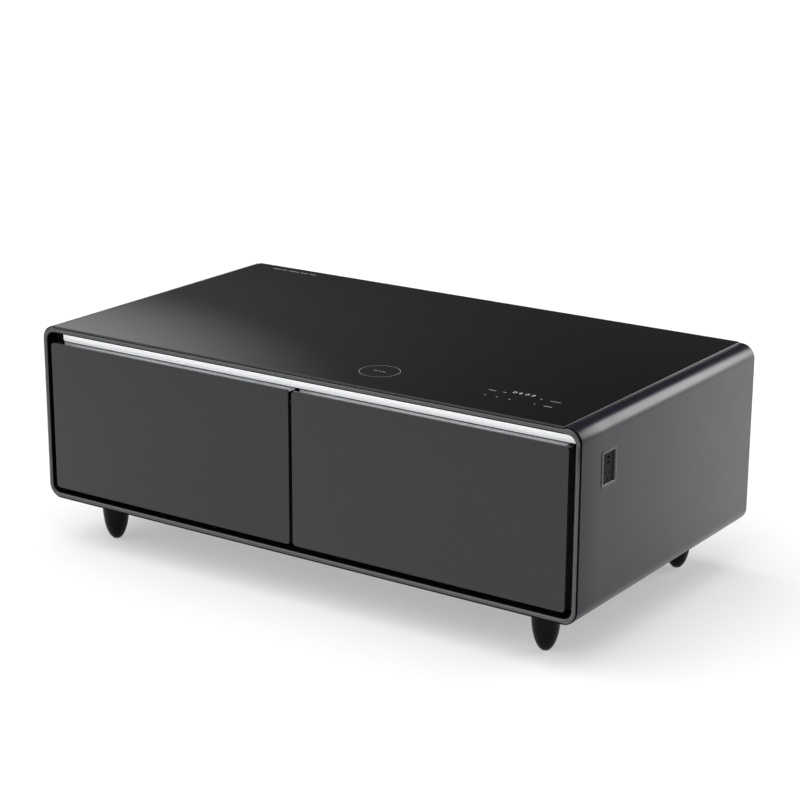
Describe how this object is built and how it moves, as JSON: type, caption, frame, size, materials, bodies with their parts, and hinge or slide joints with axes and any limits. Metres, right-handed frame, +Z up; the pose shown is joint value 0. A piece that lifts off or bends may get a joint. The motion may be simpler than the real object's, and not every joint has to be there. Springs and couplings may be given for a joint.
{
  "type": "refrigerator coffee table",
  "caption": "Low coffee table with a black glass top over a rounded dark cabinet on bullet feet, with cooled drawers that slide out at the front.",
  "frame": {"origin": "on the floor, under the middle of the cabinet", "axes": "+X along the length, -Y towards the drawer fronts, +Z up"},
  "size_m": [1.3012, 0.71, 0.48],
  "materials": {
    "casing_paint": "satin",
    "frame_paint": "satin",
    "front_paint": "satin",
    "black_glass": "gloss",
    "bedding_foam": "matt",
    "sheet_steel": "matt",
    "fastener_steel": "satin",
    "seal_rubber": "matt",
    "gland_rubber": "matt",
    "dark_plastic": "matt",
    "dark_aluminium": "satin",
    "milky_plastic": "satin",
    "light_board": "matt",
    "foam": "matt",
    "liner_plastic": "satin",
    "rail_steel": "satin",
    "foot_gloss": "gloss",
    "copper": "satin",
    "circuit_board": "satin",
    "bezel_plastic": "satin",
    "socket_plastic": "matt",
    "finned_aluminium": "satin",
    "fan_plastic": "satin",
    "compressor_paint": "gloss",
    "tray_plastic": "matt",
    "cable_sheath": "matt",
    "door_plastic": "matt",
    "bin_plastic": "gloss"
  },
  "bodies": {
    "cabinet": {"outer_shell": "casing_paint", "front_frame": "frame_paint", "glass_top": "black_glass", "glass_bedding": "bedding_foam", "rear_panel": "sheet_steel", "rear_panel_screws": "fastener_steel", "cord_gland": "gland_rubber", "throat_trims": "dark_plastic", "light_channel": "dark_aluminium", "light_diffuser": "milky_plastic", "led_strip": "light_board", "insulation_boards": "foam", "bulkhead": "sheet_steel", "compartment_liners": "liner_plastic", "seal_frame": "liner_plastic", "cabinet_rails": "rail_steel", "feet": "foot_gloss", "foot_plates": "fastener_steel", "foot_bolts": "fastener_steel", "charging_coil": "copper", "charger_board": "circuit_board", "touch_board": "circuit_board", "socket_bezel": "bezel_plastic", "socket_insert": "socket_plastic", "socket_box": "dark_plastic", "evaporators": "finned_aluminium", "evaporator_covers": "liner_plastic", "evaporator_fan_frames": "fan_plastic", "compressor": "compressor_paint", "compressor_grommets": "seal_rubber", "compressor_bolts": "fastener_steel", "relay_box": "dark_plastic", "drip_tray": "tray_plastic", "condenser": "finned_aluminium", "condenser_fan_frame": "fan_plastic", "suction_pipe": "copper", "discharge_pipe": "copper", "capillary_tube": "copper", "control_box": "dark_plastic", "control_board": "circuit_board", "compressor_cable": "cable_sheath"},
    "left_drawer": {"left_front_panel": "front_paint", "left_handle": "dark_aluminium", "left_door_body": "door_plastic", "left_gasket": "seal_rubber", "left_bin": "bin_plastic", "left_bin_divider": "bin_plastic", "left_drawer_rails": "rail_steel"},
    "left_mid_slide": {"left_mid_rails": "rail_steel"},
    "left_evaporator_fan": {"left_evaporator_fan_rotor": "fan_plastic"},
    "right_drawer": {"right_front_panel": "front_paint", "right_handle": "dark_aluminium", "right_door_body": "door_plastic", "right_gasket": "seal_rubber", "right_bin": "bin_plastic", "right_bin_divider": "bin_plastic", "right_drawer_rails": "rail_steel"},
    "right_mid_slide": {"right_mid_rails": "rail_steel"},
    "right_evaporator_fan": {"right_evaporator_fan_rotor": "fan_plastic"},
    "condenser_fan": {"condenser_fan_rotor": "fan_plastic"}
  },
  "joints": [
    {"name": "left_drawer_slide", "type": "slide", "parent": "cabinet", "child": "left_drawer", "axis": [0, -1, 0], "range_m": [0, 0.4]},
    {"name": "left_mid_rail_slide", "type": "slide", "parent": "cabinet", "child": "left_mid_slide", "axis": [0, -1, 0], "range_m": [0, 0.2]},
    {"name": "left_evaporator_fan_spin", "type": "hinge", "parent": "cabinet", "child": "left_evaporator_fan", "pos_m": [-0.51, 0.142, 0.269], "axis": [0, -1, 0], "continuous": true},
    {"name": "right_drawer_slide", "type": "slide", "parent": "cabinet", "child": "right_drawer", "axis": [0, -1, 0], "range_m": [0, 0.4]},
    {"name": "right_mid_rail_slide", "type": "slide", "parent": "cabinet", "child": "right_mid_slide", "axis": [0, -1, 0], "range_m": [0, 0.2]},
    {"name": "right_evaporator_fan_spin", "type": "hinge", "parent": "cabinet", "child": "right_evaporator_fan", "pos_m": [0.51, 0.142, 0.269], "axis": [0, -1, 0], "continuous": true},
    {"name": "condenser_fan_spin", "type": "hinge", "parent": "cabinet", "child": "condenser_fan", "pos_m": [0.2672, 0.2715, 0.162], "axis": [-1, 0, 0], "continuous": true}
  ],
  "couplings": [
    {"joint": "left_mid_rail_slide", "follows": "left_drawer_slide", "ratio": 0.5},
    {"joint": "right_mid_rail_slide", "follows": "right_drawer_slide", "ratio": 0.5}
  ]
}
